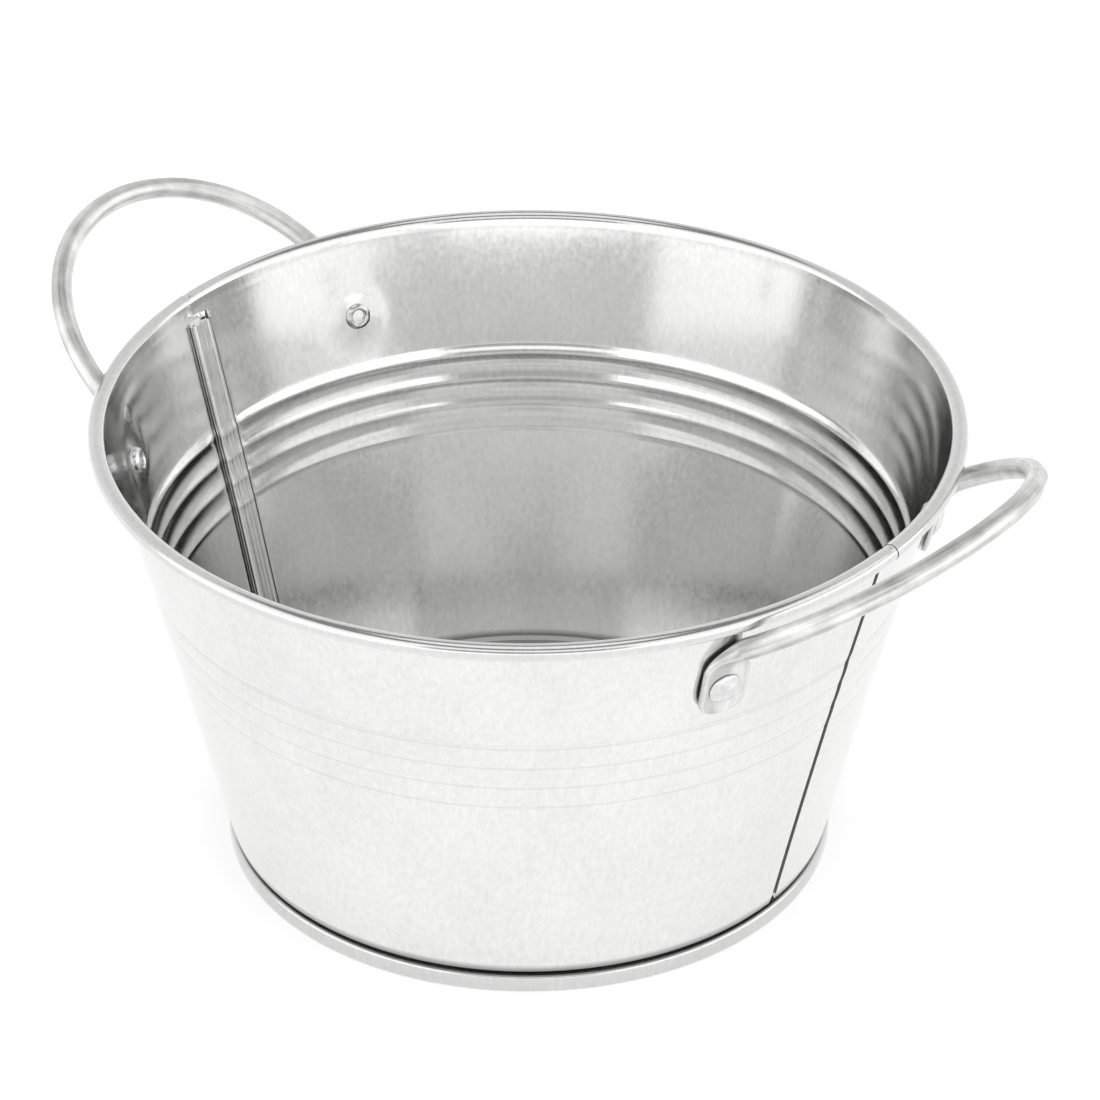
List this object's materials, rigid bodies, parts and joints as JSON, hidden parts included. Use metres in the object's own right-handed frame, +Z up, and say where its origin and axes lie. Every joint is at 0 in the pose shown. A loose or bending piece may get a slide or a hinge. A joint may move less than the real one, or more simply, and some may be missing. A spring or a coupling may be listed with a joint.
{
  "type": "bucket",
  "caption": "Shallow round galvanised steel bucket with tapered beaded wall, curled rim, seamed base and fixed looped side handles.",
  "frame": {"origin": "centre of the foot ring, on the surface that the bucket stands on", "axes": "+Z up out of the mouth, +X towards handle_right, so the handles lie on +X and -X and the lock seams just beside them; -Y is the side of body_sheet_front"},
  "size_m": [0.2282, 0.18, 0.116],
  "materials": {
    "galvanised_sheet": "bright hot-dip galvanised, faint vertical grain",
    "galvanised_rod": "dull galvanised, lightly streaked",
    "rivet_metal": "bright plated"
  },
  "bodies": {
    "root": {"body_sheet_back": "galvanised_sheet", "body_sheet_front": "galvanised_sheet", "base_disc": "galvanised_sheet", "handle_right": "galvanised_rod", "handle_left": "galvanised_rod", "rivet_right_back": "rivet_metal", "rivet_right_front": "rivet_metal", "rivet_left_back": "rivet_metal", "rivet_left_front": "rivet_metal"}
  },
  "joints": []
}
